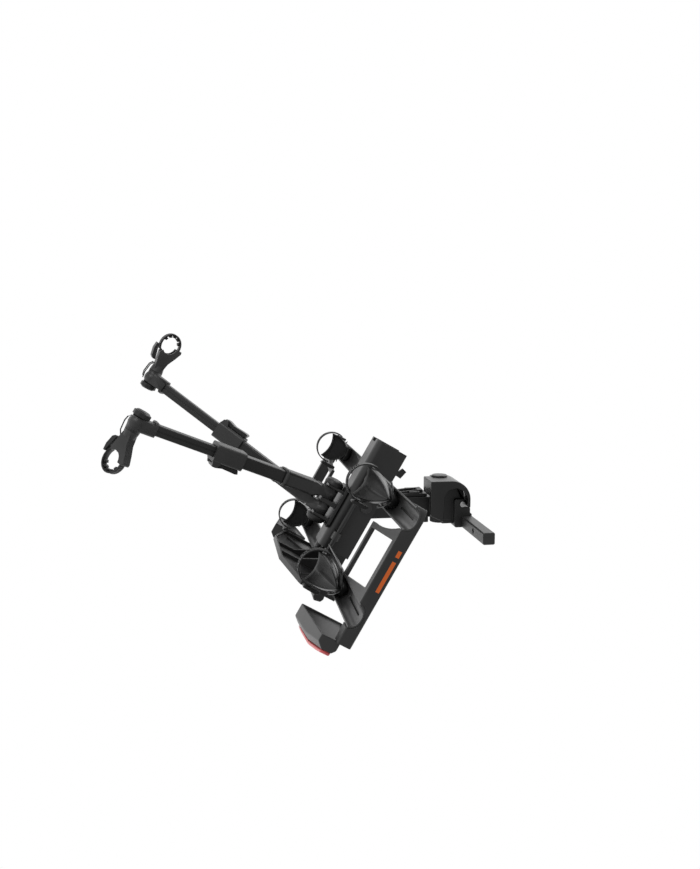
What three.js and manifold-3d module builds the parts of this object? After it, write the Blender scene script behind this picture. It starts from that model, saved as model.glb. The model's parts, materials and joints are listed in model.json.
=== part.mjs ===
// Swing-away, tilting two-bike hitch carrier.
// Millimetres, +Z up. The origin is the centre of the shank's end face; the vehicle lies towards -Y.
// The carrier is swung out 90 degrees about its vertical pin and tilted down to its stop.
import * as THREE from 'three';
import { mergeVertices } from 'three/addons/utils/BufferGeometryUtils.js';
import Module from 'manifold-3d';

// ---- driving dimensions --------------------------------------------------------------------
const SHANK = 31.75;                      // square shank, side
const SHANK_LENGTH = 206.7;               // from its end face to the hitch block
const PIN_HOLE = { radius: 6.8, fromEnd: 92 };
const TILT_AXIS = [-275, 327, 35];        // middle of the tilt axle, which runs along Y
const TILT = 60;                          // degrees that the carrier hangs down at its stop
const SWING_PIN = { x: 209, y: -65, radius: 9 };   // from the tilt axis
const GAP = 0.3;                          // fit between pieces that rest on each other
const RUN = 0.8;                          // radial clearance of a running fit

const BEAM = { front: 183, rear: -155, half: 55, top: 63, bottom: -30, wall: 6 };
const RAIL_FRONT = 80.6;                  // x of the front wheel channel
const RAIL_REAR = -166;                   // x of the rear wheel channel
const CHANNEL = { width: 61, floor: 24, thick: 4, lip: 46.6, inner: 80, outer: 621 };
const WING_PIVOT = { y: 68, z: 36, radius: 6 };
const FRAME = { outer: 623, innerBar: 379, bottom: 15, barBottom: 40, top: 50, rear: -237, front: 120 };
const HOOP = { y: 326, z: 100, outer: 49, inner: 44, width: 20 };
const SCOOP = { tip: 440, tipTop: 62, bottom: 49.5, half: 41.5, rise: 17 };
const HUB = { front: 23, rear: -104, top: 72, axisZ: 101 };
// The lean is outward and the cross along the beam, in degrees; the reach runs from hub axis to elbow.
const ARMS = {
  near: { side: -1, x: -19, lean: 20.1, cross: -5.2, reach: 599, headTurn: 55 },
  far: { side: 1, x: -66, lean: 19.2, cross: 6.7, reach: 629.5, headTurn: 35 },
};
const SLEEVE = { bottom: 60, top: 162, half: 21.5, bore: 18.6 };
const MID_TUBE = { bottom: 78, top: 372, half: 18, bore: 15.2 };
const CLAMP_BOX = { bottom: 292, top: 379, half: 25 };
const UPPER_TUBE = { bottom: 240, half: 14.5 };
const HEAD = { rise: 7.5, ring: 106 };

// ---- materials -----------------------------------------------------------------------------
function finish(color, roughness, metalness) {
  return new THREE.MeshStandardMaterial({ color, roughness, metalness });
}
const powderCoat = finish(0x3b3c3d, 0.5, 0.4);
const plastic = finish(0x2d2e2f, 0.6, 0);
const anodised = finish(0x4a4b4d, 0.4, 0.7);
const castMetal = finish(0x343536, 0.55, 0.5);
const zinc = finish(0xc9ccd0, 0.25, 1);
const blackSteel = finish(0x2a2b2d, 0.4, 0.6);
const rubber = finish(0x1c1c1c, 0.85, 0);
const lens = finish(0xc81e28, 0.2, 0);

// ---- solids from three.js shapes -----------------------------------------------------------
const wasm = await Module();
wasm.setup();

function toSolid(geometry) {
  geometry.deleteAttribute('normal');
  geometry.deleteAttribute('uv');
  const merged = mergeVertices(geometry, 1e-4);
  const mesh = new wasm.Mesh({
    numProp: 3,
    vertProperties: new Float32Array(merged.attributes.position.array),
    triVerts: new Uint32Array(merged.index.array),
  });
  return new wasm.Manifold(mesh);
}

function toGeometry(solid) {
  const mesh = solid.getMesh();
  const geometry = new THREE.BufferGeometry();
  geometry.setAttribute('position', new THREE.BufferAttribute(new Float32Array(mesh.vertProperties), 3));
  geometry.setIndex(new THREE.BufferAttribute(new Uint32Array(mesh.triVerts), 1));
  geometry.computeVertexNormals();
  return geometry;
}

const join = (...solids) => solids.reduce((sum, next) => sum.add(next));
const cut = (solid, ...tools) => tools.reduce((left, tool) => left.subtract(tool), solid);

function block(x0, x1, y0, y1, z0, z1) {
  const geometry = new THREE.BoxGeometry(x1 - x0, y1 - y0, z1 - z0);
  return toSolid(geometry.translate((x0 + x1) / 2, (y0 + y1) / 2, (z0 + z1) / 2));
}

function rod(from, to, radius, sides = 20, endRadius = radius) {
  const start = new THREE.Vector3(...from);
  const along = new THREE.Vector3(...to).sub(start);
  const geometry = new THREE.CylinderGeometry(endRadius, radius, along.length(), sides);
  const up = new THREE.Vector3(0, 1, 0);
  geometry.applyQuaternion(new THREE.Quaternion().setFromUnitVectors(up, along.clone().normalize()));
  geometry.translate(...start.addScaledVector(along, 0.5).toArray());
  return toSolid(geometry);
}

function ball(centre, radius, squash = [1, 1, 1]) {
  return toSolid(new THREE.SphereGeometry(radius, 20, 12).scale(...squash).translate(...centre));
}

// Extrudes an outline: along 'x' it is drawn in (y, z), along 'y' in (x, z) and along 'z' in (x, y).
const DRAWN_IN = {
  x: new THREE.Matrix4().makeBasis(
    new THREE.Vector3(0, 1, 0), new THREE.Vector3(0, 0, 1), new THREE.Vector3(1, 0, 0)),
  y: new THREE.Matrix4().makeBasis(
    new THREE.Vector3(1, 0, 0), new THREE.Vector3(0, 0, 1), new THREE.Vector3(0, -1, 0)),
  z: new THREE.Matrix4(),
};
function extrude(shape, axis, from, to, curveSegments = 6) {
  const geometry = new THREE.ExtrudeGeometry(shape, { depth: to - from, bevelEnabled: false, curveSegments });
  geometry.translate(0, 0, axis === 'y' ? -to : from);
  return toSolid(geometry.applyMatrix4(DRAWN_IN[axis]));
}

function outline(points) {
  return new THREE.Shape(points.map(([u, v]) => new THREE.Vector2(u, v)));
}

function roundedRect(u0, u1, v0, v1, radius) {
  const shape = new THREE.Shape();
  shape.absarc(u1 - radius, v0 + radius, radius, -Math.PI / 2, 0);
  shape.absarc(u1 - radius, v1 - radius, radius, 0, Math.PI / 2);
  shape.absarc(u0 + radius, v1 - radius, radius, Math.PI / 2, Math.PI);
  shape.absarc(u0 + radius, v0 + radius, radius, Math.PI, 1.5 * Math.PI);
  return shape;
}

const radians = THREE.MathUtils.degToRad;

// A closed skin through cross-sections that all have the same number of points.
function loft(sections) {
  const n = sections[0].length;
  const positions = sections.flat(2);
  const index = [];
  const last = (sections.length - 1) * n;
  for (let s = 0; s < sections.length - 1; s += 1) {
    for (let i = 0; i < n; i += 1) {
      const a = s * n + i;
      const b = s * n + (i + 1) % n;
      index.push(a, b, b + n, a, b + n, a + n);
    }
  }
  for (let i = 1; i < n - 1; i += 1) {
    index.push(0, i + 1, i, last, last + i, last + i + 1);
  }
  const geometry = new THREE.BufferGeometry();
  geometry.setAttribute('position', new THREE.Float32BufferAttribute(positions, 3));
  geometry.setIndex(index);
  const solid = toSolid(geometry.clone());
  if (solid.volume() > 0) return solid;
  geometry.setIndex(index.toReversed());
  return toSolid(geometry);
}

function place(group, name, solid, material) {
  const mesh = new THREE.Mesh(toGeometry(solid), material);
  mesh.name = name;
  group.add(mesh);
  return mesh;
}

// ---- fixed hitch parts (drawn from the tilt axis) ---------------------------------------------
const SHANK_X = -TILT_AXIS[0];
const SHANK_Y = -TILT_AXIS[1];
const SHANK_Z = -TILT_AXIS[2];
const BLOCK = { left: 240, right: 285, front: SHANK_Y + SHANK_LENGTH + GAP, back: -75, bottom: -52, top: 28 };
const KNUCKLE = { radius: 26, bottom: -22, top: 40, lugBottom: -44 };
const COVER = { left: 165, right: 277, front: -150, back: -38, top: 85, wall: 5, armGap: 42, sill: 10 };

function shank() {
  const half = SHANK / 2;
  const bar = extrude(
    roundedRect(SHANK_X - half, SHANK_X + half, SHANK_Z - half, SHANK_Z + half, 4),
    'y', SHANK_Y, SHANK_Y + SHANK_LENGTH, 3);
  const y = SHANK_Y + PIN_HOLE.fromEnd;
  return cut(bar, rod([SHANK_X - SHANK, y, SHANK_Z], [SHANK_X + SHANK, y, SHANK_Z], PIN_HOLE.radius, 16));
}

const WEDGE_BOLT = { x: 262, z: 14, radius: 5, head: 8, depth: 30 };

function hitchBlock() {
  const { left, right, front, back, bottom, top } = BLOCK;
  const { x, y } = SWING_PIN;
  const lower = extrude(roundedRect(left, right, bottom, COVER.sill - 4, 6), 'y', front, back, 3);
  const upper = extrude(roundedRect(left, right - 15, -10, top, 6), 'y', front, back, 3);
  const body = join(lower, upper);
  const collar = extrude(roundedRect(left + 15, right + 5, bottom + 2, -12, 5), 'y', front, front + 14, 3);
  const bulkhead = extrude(coverOutline(COVER.wall + 1), 'y', back - 30, back - 25)
    .intersect(block(206, right + 5, back - 40, back, KNUCKLE.bottom - 10, 100));
  const web = block(left + 2, right - 25, back - 30, back, top - 8, 60);
  const lugs = [[KNUCKLE.top + 4, 60], [KNUCKLE.lugBottom, KNUCKLE.bottom - 4]].map(([low, high]) => join(
    rod([x, y, low], [x, y, high], KNUCKLE.radius),
    block(x, left + 8, back - KNUCKLE.radius + 1, back, low, high)));
  const bore = rod([x, y, bottom - 5], [x, y, 65], SWING_PIN.radius + GAP);
  const boltHole = rod(
    [WEDGE_BOLT.x, front - 1, WEDGE_BOLT.z], [WEDGE_BOLT.x, front + 34, WEDGE_BOLT.z],
    WEDGE_BOLT.radius + GAP, 12);
  return cut(join(body, collar, bulkhead, web, ...lugs), bore, boltHole);
}

function wedgeBolt() {
  const { x, z, radius, head, depth } = WEDGE_BOLT;
  const face = BLOCK.front - GAP;
  return join(
    rod([x, face - 5, z], [x, face, z], head, 16),
    rod([x, face - 1, z], [x, face + depth, z], radius, 12));
}

function coverOutline(inset) {
  const { left, right, top } = COVER;
  const shoulder = 52 - inset;
  const shape = new THREE.Shape();
  shape.moveTo(left + inset, -70);
  shape.lineTo(right - inset, -70);
  shape.absarc(right - 52, top - 52, shoulder, 0, Math.PI / 2);
  shape.lineTo(left + inset, top - inset);
  return shape;
}

function hitchCover() {
  const { left, right, front, back, wall, armGap, sill } = COVER;
  const { x, y } = SWING_PIN;
  const arch = new THREE.Shape();
  arch.moveTo(202, -80);
  arch.lineTo(right - 8, -80);
  arch.absarc(right - 42, 30, 34, 0, Math.PI / 2);
  arch.absarc(230, 34, 28, Math.PI / 2, Math.PI);
  const belowSkirt = outline([
    [left - 5, -90], [right + 5, -90], [right + 5, sill], [222, sill], [222, -40], [left - 5, -8]]);
  return cut(
    extrude(coverOutline(0), 'y', front, back),
    extrude(coverOutline(wall), 'y', front + wall, back + 5),
    extrude(arch, 'y', front - 5, front + wall + 5),
    extrude(belowSkirt, 'y', front - 5, front + 30),
    block(left - 5, right + 5, front + 29, back + 5, -90, sill),
    block(left - 5, 225, front + 14, back + 5, -90, armGap),
    block(225 - 1, right + 5, BLOCK.back - 1, back + 5, -90, armGap),
    block(left - 5, BEAM.front + 4, -BEAM.half - 3, back + 5, -90, 100),
    rod([x, y, 60], [x, y, 100], SWING_PIN.radius + GAP));
}

function swingPin() {
  const { x, y, radius } = SWING_PIN;
  return join(
    rod([x, y, KNUCKLE.lugBottom - 4], [x, y, COVER.top + 2], radius),
    rod([x, y, COVER.top + GAP], [x, y, COVER.top + 3], 23, 24),
    rod([x, y, COVER.top + 3], [x, y, COVER.top + 5], 23, 24, 20));
}

// ---- swing arm --------------------------------------------------------------------------------
const ARM_BEAM = { nose: 36, end: 195, half: 45, bottom: -36, top: 22 };
const TILT_AXLE = 10;

function latchRoom() {
  const { from, to, half } = LATCH_SLOT;
  return block(from, to, -half, half, -60, 60);
}

function swingArm() {
  const { nose, end, half, bottom, top } = ARM_BEAM;
  const { x, y, radius } = SWING_PIN;
  const profile = new THREE.Shape();
  profile.absarc(0, 0, nose, Math.PI / 2, 1.5 * Math.PI);
  profile.lineTo(end, bottom);
  profile.lineTo(end, top);
  profile.lineTo(34, top);
  const neck = outline([[187, -44], [187, y], [224, y], [222, -45], [195, -20]]);
  const lugSweep = rod([x, y, bottom - 30], [x, y, KNUCKLE.bottom], KNUCKLE.radius + 1.5);
  return cut(
    join(
      cut(extrude(profile, 'y', -half, half, 12), lugSweep),
      extrude(neck, 'z', KNUCKLE.bottom, KNUCKLE.top - 6),
      rod([x, y, KNUCKLE.bottom], [x, y, KNUCKLE.top], KNUCKLE.radius),
      block(166, 186, -34, 34, bottom - 18, bottom + 1)),
    rod([x, y, -60], [x, y, 60], radius + RUN),
    rod([0, -60, 0], [0, 60, 0], TILT_AXLE + GAP),
    latchRoom());
}

function swingTopPlate() {
  const low = ARM_BEAM.top + GAP;
  return cut(
    join(
      extrude(roundedRect(44, 182, -38, 38, 6), 'z', low, low + 9, 3),
      extrude(outline([[70, low], [172, low], [172, 40], [120, 36], [84, 34]]), 'y', -22, 22),
      block(130, 160, -36, 36, low, 36)),
    latchRoom());
}

// ---- tilting beam -------------------------------------------------------------------------------
function beamOutline(inset) {
  const { half, top, bottom } = BEAM;
  const side = half - inset;
  const shape = new THREE.Shape();
  shape.moveTo(-side, inset ? bottom - 10 : bottom);
  shape.lineTo(side, inset ? bottom - 10 : bottom);
  shape.lineTo(side, 18);
  shape.lineTo(side - 3, 38);
  shape.absarc(side - 23, top - inset - 20, 20, 0.1, Math.PI / 2);
  shape.absarc(-side + 23, top - inset - 20, 20, Math.PI / 2, Math.PI - 0.1);
  shape.lineTo(-side + 3, 38);
  shape.lineTo(-side, 18);
  return shape;
}

function mainBeam() {
  const pivot = LATCH_PIVOT;
  const { front, rear, wall, half, top } = BEAM;
  return cut(
    extrude(beamOutline(0), 'x', rear, front, 5),
    extrude(beamOutline(wall), 'x', rear + 8, front + 5, 5),
    block(front - 10, front + 5, -18, 18, top - 8, top + 5),
    rod([0, -half - 5, 0], [0, half + 5, 0], TILT_AXLE + RUN),
    rod([pivot.x, -pivot.end - GAP, pivot.z], [pivot.x, pivot.end + GAP, pivot.z], pivot.radius + GAP, 12));
}

function tiltAxle() {
  const end = BEAM.half + 5;
  return join(
    rod([0, -end, 0], [0, end, 0], TILT_AXLE),
    rod([0, -end - 4, 0], [0, -BEAM.half - GAP, 0], 17, 12),
    rod([0, BEAM.half + GAP, 0], [0, end + 4, 0], 17, 12));
}

// ---- hub and support arms -------------------------------------------------------------------------
const KNUCKLE_WIDTH = 32;

function hubBase() {
  const { front, rear, top, axisZ } = HUB;
  const plate = extrude(roundedRect(rear, front, -48, 48, 12), 'z', BEAM.top + GAP, top, 4);
  const cheek = outline([[-27, top - 2], [27, top - 2], [19, axisZ + 16], [-19, axisZ + 16]]);
  const cheeks = [[-2.2, 6], [-49.2, -35.8], [-92, -82.8]].map(([a, b]) => extrude(cheek, 'x', a, b));
  return cut(join(plate, ...cheeks), rod([rear - 5, 0, axisZ], [front + 5, 0, axisZ], 8 + GAP));
}

function dome(x, direction, radius) {
  const profile = [[0, 0], [radius, 0], [radius, 6], [radius * 0.9, 13], [radius * 0.62, 18], [0, 20]];
  const geometry = new THREE.LatheGeometry(profile.map(([r, h]) => new THREE.Vector2(r, h)), 24);
  geometry.rotateZ(-direction * Math.PI / 2);
  return toSolid(geometry.translate(x, 0, HUB.axisZ));
}

function hubAxle() {
  return join(rod([-92, 0, HUB.axisZ], [8, 0, HUB.axisZ], 8), dome(6 + GAP, 1, 28));
}

// ---- wings ----------------------------------------------------------------------------------------
// A wing is drawn on the far side (+y) and mirrored for the near side.
function channel(x) {
  const { width, floor, thick, lip, inner, outer } = CHANNEL;
  const half = width / 2;
  const sag = new THREE.Shape();
  const rise = lip - floor;
  sag.moveTo(x - half, lip);
  sag.quadraticCurveTo(x - half + 4, floor, x, floor);
  sag.quadraticCurveTo(x + half - 4, floor, x + half, lip);
  sag.lineTo(x + half - thick, lip);
  sag.quadraticCurveTo(x + half - 8, floor + thick, x, floor + thick);
  sag.quadraticCurveTo(x - half + 8, floor + thick, x - half + thick, lip);
  const slot = block(x - 3, x + 3, 452, 590, floor - 2, floor + rise);
  const eye = rod([x - 14, WING_PIVOT.y, WING_PIVOT.z], [x + 14, WING_PIVOT.y, WING_PIVOT.z], 11, 16);
  const root = block(x - 14, x + 14, WING_PIVOT.y, inner + 14, floor + 1, WING_PIVOT.z + 6);
  const bore = rod(
    [x - 30, WING_PIVOT.y, WING_PIVOT.z], [x + 30, WING_PIVOT.y, WING_PIVOT.z], WING_PIVOT.radius + RUN, 16);
  return cut(join(extrude(sag, 'y', inner, outer, 6), eye, root), slot, bore);
}

function sideFrame() {
  const { outer, innerBar, bottom, barBottom, top, rear, front } = FRAME;
  const lipFront = RAIL_FRONT - CHANNEL.width / 2;
  const plan = new THREE.Shape();
  plan.moveTo(rear, outer);
  plan.lineTo(rear, outer - 32);
  plan.lineTo(RAIL_REAR - 32, outer - 36);
  plan.lineTo(RAIL_REAR + 16, innerBar);
  plan.lineTo(12, innerBar);
  plan.quadraticCurveTo(18, outer - 115, lipFront, outer - 23);
  plan.lineTo(front - 8, outer - 23);
  plan.absarc(front - 38, outer - 40, 38, 0.6, Math.PI / 2);
  const section = outline([
    [innerBar - 10, barBottom], [outer - 45, barBottom - 8], [outer - 34, bottom], [outer - 3, bottom],
    [outer, bottom + 3], [outer, top - 3], [outer - 3, top], [innerBar - 10, top]]);
  const solid = extrude(plan, 'z', bottom, top, 8).intersect(extrude(section, 'x', rear - 5, front + 15));
  const window = extrude(outline([
    [-134, innerBar + 15], [-2, innerBar + 15], [18, outer - 26], [-105, outer - 26]]), 'z', 0, top + 5);
  const cradles = [RAIL_FRONT, RAIL_REAR].map((x) => {
    const { width, floor, lip } = CHANNEL;
    const half = width / 2 + GAP;
    const room = new THREE.Shape();
    room.moveTo(x - half, lip + 30);
    room.lineTo(x - half, lip);
    room.quadraticCurveTo(x - half + 3.6, floor - GAP, x, floor - GAP);
    room.quadraticCurveTo(x + half - 3.6, floor - GAP, x + half, lip);
    room.lineTo(x + half, lip + 30);
    return extrude(room, 'y', innerBar - 20, outer + 5, 6);
  });
  return cut(solid, window, ...cradles);
}

function scoopSection(t) {
  const width = SCOOP.half * Math.sqrt(1 - t ** 2.2);
  const y = HOOP.y + (SCOOP.tip - HOOP.y) * t;
  const middle = THREE.MathUtils.lerp(HOOP.z, SCOOP.tipTop, t ** 0.9);
  const rise = SCOOP.rise * (1 - t);
  const depth = middle - SCOOP.bottom;
  const spread = Math.asin(rise / depth);
  const dip = 9 * (1 - t);
  const steps = 10;
  const points = [];
  for (let i = 0; i <= steps; i += 1) {
    const angle = Math.PI - spread + (Math.PI + 2 * spread) * i / steps;
    points.push([width * Math.cos(angle), y, middle + depth * Math.sin(angle)]);
  }
  const lip = width * Math.cos(spread);
  for (let i = 1; i < 4; i += 1) {
    const across = 1 - i / 2;
    points.push([lip * across, y, middle + rise - dip * (1 - across ** 2)]);
  }
  return points;
}

// The scoop's foot stands in the channel without touching its curved floor.
function scoopFoot() {
  const half = [[9, 30], [16, 34], [21, 40], [23, 52]];
  const stations = [[HOOP.y + 3, 1], [HOOP.y + 55, 1], [HOOP.y + 100, 0.6]];
  return loft(stations.map(([y, size]) => [
    ...half.map(([x, z]) => [x * size, y, z]),
    ...half.toReversed().map(([x, z]) => [-x * size, y, z])]));
}

function scoop(x) {
  const stations = [0, 0.2, 0.4, 0.6, 0.8, 0.93, 0.99];
  const body = join(loft(stations.map(scoopSection)), scoopFoot());
  const hollow = ball([0, HOOP.y - 8, HOOP.z - 12], 24, [1.2, 1.6, 0.8]);
  return cut(body, hollow, block(-4, 4, SCOOP.tip - 34, SCOOP.tip - 18, 40, 80)).translate([x, 0, 0]);
}

function hoop(x) {
  const ring = new THREE.Shape();
  const low = radians(-14);
  ring.absarc(x, HOOP.z, HOOP.outer, low, Math.PI - low);
  ring.absarc(x, HOOP.z, HOOP.inner, Math.PI - low, low, true);
  return extrude(ring, 'y', HOOP.y - HOOP.width, HOOP.y + 2, 24);
}

const BUCKLE = { out: 50.5, low: 62, high: 108, thick: 11, width: 24 };

function buckle(x) {
  const { out, low, high, thick, width } = BUCKLE;
  const side = outline([
    [x - out, low], [x - out, high - 10], [x - out - 4, high], [x - out - thick + 2, high],
    [x - out - thick, low + 12], [x - out - thick + 3, low]]);
  return extrude(side, 'y', HOOP.y - 12 - width / 2, HOOP.y - 12 + width / 2);
}

const LAMP = { front: -237.6, rear: -285, lens: -296, inner: 430, outer: 604 };

function lampSection(y) {
  const t = (y - LAMP.inner) / (LAMP.outer - LAMP.inner);
  return { low: THREE.MathUtils.lerp(2, 36, t), high: THREE.MathUtils.lerp(116, 84, t) };
}

function lampBody(front, rear, shrink) {
  const stations = [LAMP.inner, 520, LAMP.outer];
  return loft(stations.map((y) => {
    const { low, high } = lampSection(y);
    const back = rear + (y === LAMP.outer ? shrink + 16 : shrink);
    const corners = [
      [front, low], [back + 10, low], [back, low + 8],
      [back, high - 16], [back + 14, high], [front, high]];
    return corners.map(([x, z]) => [x, y, z]);
  }));
}

function lampHousing() {
  return lampBody(LAMP.front, LAMP.rear, 0);
}

function lampLens() {
  const skin = lampBody(LAMP.rear + 40, LAMP.lens, 0);
  return cut(skin, lampBody(LAMP.front + 20, LAMP.rear - GAP, 0),
    block(LAMP.rear - GAP, 0, 300, 700, -50, 200),
    block(LAMP.lens - 5, 0, 300, 700, 96, 200),
    block(LAMP.lens - 5, 0, LAMP.outer - 2, 700, -50, 200));
}

function wingHinge() {
  const { y, z, radius } = WING_PIVOT;
  const lugs = [[18, 42], [-122, -98]].map(([x0, x1]) => join(
    block(x0, x1, BEAM.half + GAP, y, z - 13, z + 11),
    rod([x0, y, z], [x1, y, z], 11, 16)));
  return join(
    rod([RAIL_REAR - 20, y, z], [RAIL_FRONT + 20, y, z], radius, 16),
    rod([RAIL_REAR - 24, y, z], [RAIL_REAR - 18, y, z], 10, 12),
    rod([RAIL_FRONT + 18, y, z], [RAIL_FRONT + 24, y, z], 10, 12),
    ...lugs);
}

// ---- rear of the beam -----------------------------------------------------------------------------
const PANEL = { front: -218, rear: -232, half: 275, low: 5, shoulder: 106, high: 155, flat: 113, wall: 5 };
const PLATE = { half: 262, low: 12, high: 102 };
const PEDAL_PIVOT = { x: -204, z: -14, radius: 5 };
const LATCH_PIVOT = { x: 124, z: 42, radius: 4, end: 46 };
const LATCH_SLOT = { from: 80, to: 158, half: 14 };

function panelOutline(inset) {
  const { half, low, shoulder, high, flat } = PANEL;
  const side = half - inset;
  const step = flat - inset / 3;
  const corner = shoulder - inset * 0.8;
  return outline([
    [-side, low + inset], [side, low + inset], [side, corner], [side - 12, shoulder + 6 - inset],
    [step, high - inset], [-step, high - inset], [-side + 12, shoulder + 6 - inset], [-side, corner]]);
}

function platePanel() {
  const { front, rear, low, high, wall } = PANEL;
  const { x, z, radius } = PEDAL_PIVOT;
  const board = cut(
    extrude(panelOutline(0), 'x', rear, front),
    extrude(panelOutline(wall), 'x', rear + wall, front + wall),
    extrude(roundedRect(-PLATE.half, PLATE.half, PLATE.low, PLATE.high, 4), 'x', rear - 5, rear + 1, 3));
  const ribs = [-1, 1].map((side) => extrude(
    outline([[side * 56, low + 4], [side * 62, low + 4], [side * 205, 104], [side * 199, 104]]),
    'x', rear + wall - 1, front - 2));
  const struts = [-1, 1].map((side) => extrude(outline([
    [BEAM.rear - GAP, -24], [BEAM.rear - GAP, 16], [-190, 40], [front, 96], [front, high - wall],
    [rear + wall - 1, high - wall], [rear + wall - 1, low + 1], [front, low + 1], [x - 10, z - 10]]),
    'y', side * 50 - 5, side * 50 + 5));
  const tray = block(-188, BEAM.rear - GAP, -50, 50, -6, 4);
  const pin = rod([x, -50, z], [x, 50, z], radius, 12);
  return join(board, ...ribs, ...struts, tray, pin);
}

function footPedal() {
  const { x, z, radius } = PEDAL_PIVOT;
  const arm = outline([
    [x + 8, z - 9], [x + 8, z + 6], [x - 46, z + 11], [x - 92, z + 15], [x - 102, z + 8],
    [x - 98, z - 12], [x - 88, z - 17], [x - 50, z - 10]]);
  return cut(
    join(extrude(arm, 'y', -40, 40), rod([x, -40, z], [x, 40, z], 9, 16)),
    rod([x, -60, z], [x, 60, z], radius + RUN, 12),
    block(x - 84, x - 16, -28, 28, z - 20, z - 4));
}

function beamLatch() {
  const { x, z, radius } = LATCH_PIVOT;
  const hook = outline([
    [x - 8, z + 7], [x + 8, z + 7], [x + 8, -46], [x + 20, -52], [x + 16, -66], [x - 9, -60], [x - 8, -48]]);
  return cut(
    extrude(hook, 'y', -5, 5),
    rod([x, -20, z], [x, 20, z], radius + RUN, 12));
}

function latchPin() {
  const { x, z, radius, end } = LATCH_PIVOT;
  const collars = [-1, 1].map((side) => rod([x, side * 7, z], [x, side * 12, z], radius + 2.5, 12));
  return join(rod([x, -end, z], [x, end, z], radius, 12), ...collars);
}

// ---- one support arm, drawn along +z from the hub axis with its clamp head towards +x --------------
function tubeOutline(half, corner) {
  return roundedRect(-half, half, -half, half, corner);
}

function octagon(u, v, chamfer) {
  return [
    [u, -v + chamfer], [u, v - chamfer], [u - chamfer, v], [-u + chamfer, v],
    [-u, v - chamfer], [-u, -v + chamfer], [-u + chamfer, -v], [u - chamfer, -v]];
}

function armSleeve(cross) {
  const { bottom, top, half, bore } = SLEEVE;
  const barrel = rod([-KNUCKLE_WIDTH / 2, 0, 0], [KNUCKLE_WIDTH / 2, 0, 0], 22, 24);
  const neck = block(-15, 15, -20, 20, 0, 40);
  const root = join(barrel, neck).rotate([0, -cross, 0]);
  const taper = loft([[34, 15, 20], [bottom, half, half], [bottom + 14, half, half]].map(([z, hx, hy]) => (
    octagon(hx, hy, 6).map(([x, y]) => [x, y, z]))));
  const sleeve = extrude(tubeOutline(half, 8), 'z', bottom + 14, top, 3);
  const collar = extrude(tubeOutline(half + 1.5, 9), 'z', top - 12, top, 3);
  const axleBore = rod([-40, 0, 0], [40, 0, 0], 8 + RUN).rotate([0, -cross, 0]);
  return cut(join(root, taper, sleeve, collar),
    extrude(tubeOutline(bore, 6), 'z', MID_TUBE.bottom - 1, top + 5, 3), axleBore);
}

function midTube() {
  const { bottom, top, half, bore } = MID_TUBE;
  return cut(
    extrude(tubeOutline(half, 5.5), 'z', bottom, top, 3),
    block(-bore, bore, -bore, bore, bottom - 5, top + 5));
}

const LEVER_PIVOT = { x: 31, z: 366, radius: 3 };

function clampBox() {
  const { bottom, top, half } = CLAMP_BOX;
  const { x, z, radius } = LEVER_PIVOT;
  const body = extrude(tubeOutline(half, 8), 'z', bottom, top, 3);
  const ears = [-1, 1].map((side) => extrude(
    outline([[half - 6, z - 16], [x + 2, z - 8], [x + 7, z], [x + 4, z + 8], [half - 6, z + 13]]),
    'y', side * 19 - 4, side * 19 + 4));
  return cut(
    join(body, ...ears, rod([x, -20, z], [x, 20, z], radius, 12)),
    extrude(tubeOutline(MID_TUBE.half + GAP, 5.5), 'z', bottom - 5, MID_TUBE.top + GAP, 3),
    extrude(tubeOutline(UPPER_TUBE.half + RUN, 4.5), 'z', bottom, top + 5, 3));
}

function clampLever() {
  const { bottom, half } = CLAMP_BOX;
  const { x, z, radius } = LEVER_PIVOT;
  const plate = outline([
    [half + 1, bottom + 4], [half + 12, bottom], [half + 14, bottom + 8], [half + 11, z - 26],
    [x + 9, z - 6], [x + 8, z + 5], [x, z + 8], [half + 1, z + 2], [half + 1, bottom + 30]]);
  return cut(
    extrude(plate, 'y', -14.4, 14.4),
    rod([x, -30, z], [x, 30, z], radius + 0.5, 12));
}

function upperTube(reach) {
  const { bottom, half } = UPPER_TUBE;
  const tube = extrude(tubeOutline(half, 4), 'z', bottom, reach - 16, 3);
  const core = block(-2, 2, -half + 1.5, half - 1.5, 0, reach);
  const grooves = block(-2, 2, -half - 5, half + 5, 0, reach).subtract(core);
  return cut(tube, grooves);
}

// The head's own frame is at the elbow, turned up by its rise; its axis is +x.
const KNOB = { radius: 24, from: -18, to: -34, stem: 5 };
const HEAD_AXIS_START = 24;

function elbow() {
  const socket = extrude(tubeOutline(20, 8), 'z', -50, -6, 3);
  const bulb = ball([0, 0, 1], 23);
  const barrel = rod([KNOB.from + 1, 0, 0], [HEAD_AXIS_START - 0.5, 0, 0], 20, 20).rotate([0, -HEAD.rise, 0]);
  const knobRoom = block(-60, KNOB.from + 0.8, -40, 40, -40, 40).rotate([0, -HEAD.rise, 0]);
  const stem = rod([-40, 0, 0], [40, 0, 0], KNOB.stem + RUN, 12).rotate([0, -HEAD.rise, 0]);
  return cut(join(socket, bulb, barrel), knobRoom,
    extrude(tubeOutline(UPPER_TUBE.half + GAP, 4), 'z', -60, -16 + GAP, 3), stem);
}

function knob() {
  const { radius, from, to, stem } = KNOB;
  const lobes = 10;
  const points = [];
  for (let i = 0; i < lobes * 4; i += 1) {
    const angle = Math.PI * i / (lobes * 2);
    const r = radius - 1.6 * Math.abs(Math.sin(angle * lobes / 2)) ** 3;
    points.push([r * Math.cos(angle), r * Math.sin(angle)]);
  }
  return join(
    extrude(outline(points), 'x', to + 4, from, 1),
    rod([to, 0, 0], [to + 4, 0, 0], 17, 20, radius - 3),
    rod([from - 1, 0, 0], [HEAD_AXIS_START - 4, 0, 0], stem, 12));
}

const STRAP = { rx: 36, rz: 31, thick: 5, half: 9, gapAngle: 128 };
const STRAP_CENTRE = HEAD.ring + 4;

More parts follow.
